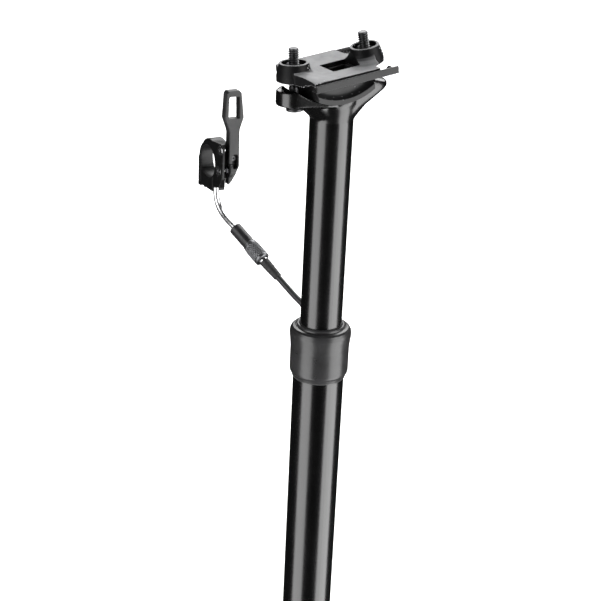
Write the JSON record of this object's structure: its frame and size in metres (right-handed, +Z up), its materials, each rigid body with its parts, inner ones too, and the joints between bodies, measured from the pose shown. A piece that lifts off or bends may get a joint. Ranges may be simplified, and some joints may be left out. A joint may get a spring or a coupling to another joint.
{
  "type": "dropper seatpost with handlebar remote",
  "caption": "Height-adjustable telescopic bicycle seatpost with a two-bolt saddle clamp, cable actuator, housing and handlebar lever.",
  "frame": {"origin": "on the post's axis at the lower end of the outer tube", "axes": "+Z up the post, -Y towards the front of the bicycle, +X to its left side"},
  "size_m": [0.2022, 0.0743, 0.4555],
  "materials": {
    "gloss_black_tube": "gloss black anodised",
    "satin_black": "satin black anodised, forged",
    "cradle_black": "satin black anodised",
    "clamp_grey": "satin grey, bead blasted top",
    "bolt_steel": "black oxide, oiled",
    "washer_steel": "zinc plated",
    "rubber_black": "matt",
    "felt": "oiled felt",
    "bushing_polymer": "PTFE-lined polymer",
    "dark_aluminium": "satin anodised",
    "bright_steel": "ground",
    "brass": "machined",
    "tube_aluminium": "machined",
    "remote_body_black": "satin black anodised",
    "remote_lever_black": "satin dark grey anodised",
    "screw_silver": "bright",
    "chrome_noodle": "polished",
    "adjuster_black": "satin anodised",
    "adjuster_grey": "knurled, anodised",
    "housing_jacket": "smooth jacket",
    "tie_fabric": "hook-and-loop strap"
  },
  "bodies": {
    "lower_post": {"outer_tube": "gloss_black_tube", "seal_head": "satin_black", "wiper_seal": "rubber_black", "felt_ring": "felt", "upper_bushing": "bushing_polymer", "bottom_cap": "dark_aluminium", "damper_rod": "bright_steel", "rod_piston": "brass", "actuator_bracket": "dark_aluminium", "actuator_pivot": "bright_steel", "actuator_spring": "bright_steel", "housing_ferrule": "adjuster_black", "lower_wire": "bright_steel", "remote_bracket": "remote_body_black", "bar_strap": "remote_body_black", "strap_screw": "screw_silver", "lever_bolt": "screw_silver", "lever_spring": "dark_aluminium", "cover_screw": "screw_silver", "upper_wire": "bright_steel", "noodle": "chrome_noodle", "adjuster_barrel": "adjuster_black", "lock_ring": "screw_silver", "boot": "rubber_black", "housing_lead": "housing_jacket", "housing_hank": "housing_jacket", "hank_tie": "tie_fabric", "housing_tail": "housing_jacket"},
    "upper_post": {"stanchion": "gloss_black_tube", "saddle_head": "satin_black", "damper_body": "tube_aluminium", "damper_gland": "dark_aluminium", "damper_plug": "dark_aluminium", "lower_bushing": "bushing_polymer", "guide_keys": "brass"},
    "valve": {"valve_pin": "bright_steel"},
    "actuator": {"actuator_lever": "dark_aluminium", "lever_barrel": "brass"},
    "cradle": {"lower_cradle": "cradle_black"},
    "top_clamp": {"upper_clamp": "clamp_grey"},
    "front_bolt": {"front_bolt": "bolt_steel", "front_washer": "washer_steel"},
    "rear_bolt": {"rear_bolt": "bolt_steel", "rear_washer": "washer_steel"},
    "front_nut": {"front_nut": "washer_steel"},
    "rear_nut": {"rear_nut": "washer_steel"},
    "remote_lever": {"remote_lever": "remote_lever_black", "lever_bushing": "brass", "wire_anchor": "screw_silver", "anchor_screw": "bolt_steel"},
    "adjuster_knob": {"adjuster_knob": "adjuster_grey"}
  },
  "joints": [
    {"name": "post_drop", "type": "slide", "parent": "lower_post", "child": "upper_post", "axis": [0, 0, 1], "range_m": [-0.125, 0]},
    {"name": "saddle_tilt", "type": "hinge", "parent": "upper_post", "child": "cradle", "pos_m": [0, -0.00543, 0.41112], "axis": [1, 0, 0], "range_deg": [-6, 6]},
    {"name": "clamp_lift", "type": "slide", "parent": "cradle", "child": "top_clamp", "axis": [0, -0.1478, 0.989], "range_m": [0, 0.0012]},
    {"name": "front_bolt_swivel", "type": "hinge", "parent": "upper_post", "child": "front_bolt", "pos_m": [0, -0.02399, 0.36776], "axis": [1, 0, 0], "range_deg": [-7, 7]},
    {"name": "rear_bolt_swivel", "type": "hinge", "parent": "upper_post", "child": "rear_bolt", "pos_m": [0, 0.02499, 0.37508], "axis": [1, 0, 0], "range_deg": [-7, 7]},
    {"name": "front_nut_swivel", "type": "hinge", "parent": "top_clamp", "child": "front_nut", "pos_m": [0, -0.0255, 0.38981], "axis": [1, 0, 0], "range_deg": [-13, 13]},
    {"name": "rear_nut_swivel", "type": "hinge", "parent": "top_clamp", "child": "rear_nut", "pos_m": [0, 0.01998, 0.39661], "axis": [1, 0, 0], "range_deg": [-13, 13]},
    {"name": "remote_lever_press", "type": "hinge", "parent": "lower_post", "child": "remote_lever", "pos_m": [-0.1424, 0.007, 0.29], "axis": [0, 1, 0], "range_deg": [0, 25], "stiffness_Nm_per_rad": 0.25, "springref_deg": -11.46, "deforming": ["upper_wire"]},
    {"name": "actuator_turn", "type": "hinge", "parent": "lower_post", "child": "actuator", "pos_m": [-0.0039, 0.00225, -0.01], "axis": [-0.5, -0.866, 0], "range_deg": [0, 15], "stiffness_Nm_per_rad": 0.08, "springref_deg": -11.46, "deforming": ["lower_wire"]},
    {"name": "valve_push", "type": "slide", "parent": "lower_post", "child": "valve", "axis": [0, 0, 1], "range_m": [0, 0.0011]},
    {"name": "adjuster_turn", "type": "hinge", "parent": "lower_post", "child": "adjuster_knob", "pos_m": [-0.10681, 0.01105, 0.24285], "axis": [0.8341, 0.263, -0.4848], "range_deg": [-360, 360]}
  ],
  "couplings": [
    {"joint": "front_bolt_swivel", "follows": "saddle_tilt", "ratio": -0.9002},
    {"joint": "rear_bolt_swivel", "follows": "saddle_tilt", "ratio": -0.9002},
    {"joint": "front_nut_swivel", "follows": "saddle_tilt", "ratio": -1.9002},
    {"joint": "rear_nut_swivel", "follows": "saddle_tilt", "ratio": -1.9002},
    {"joint": "actuator_turn", "follows": "remote_lever_press", "ratio": 0.6},
    {"joint": "valve_push", "follows": "remote_lever_press", "m_per_rad": 0.002292}
  ]
}
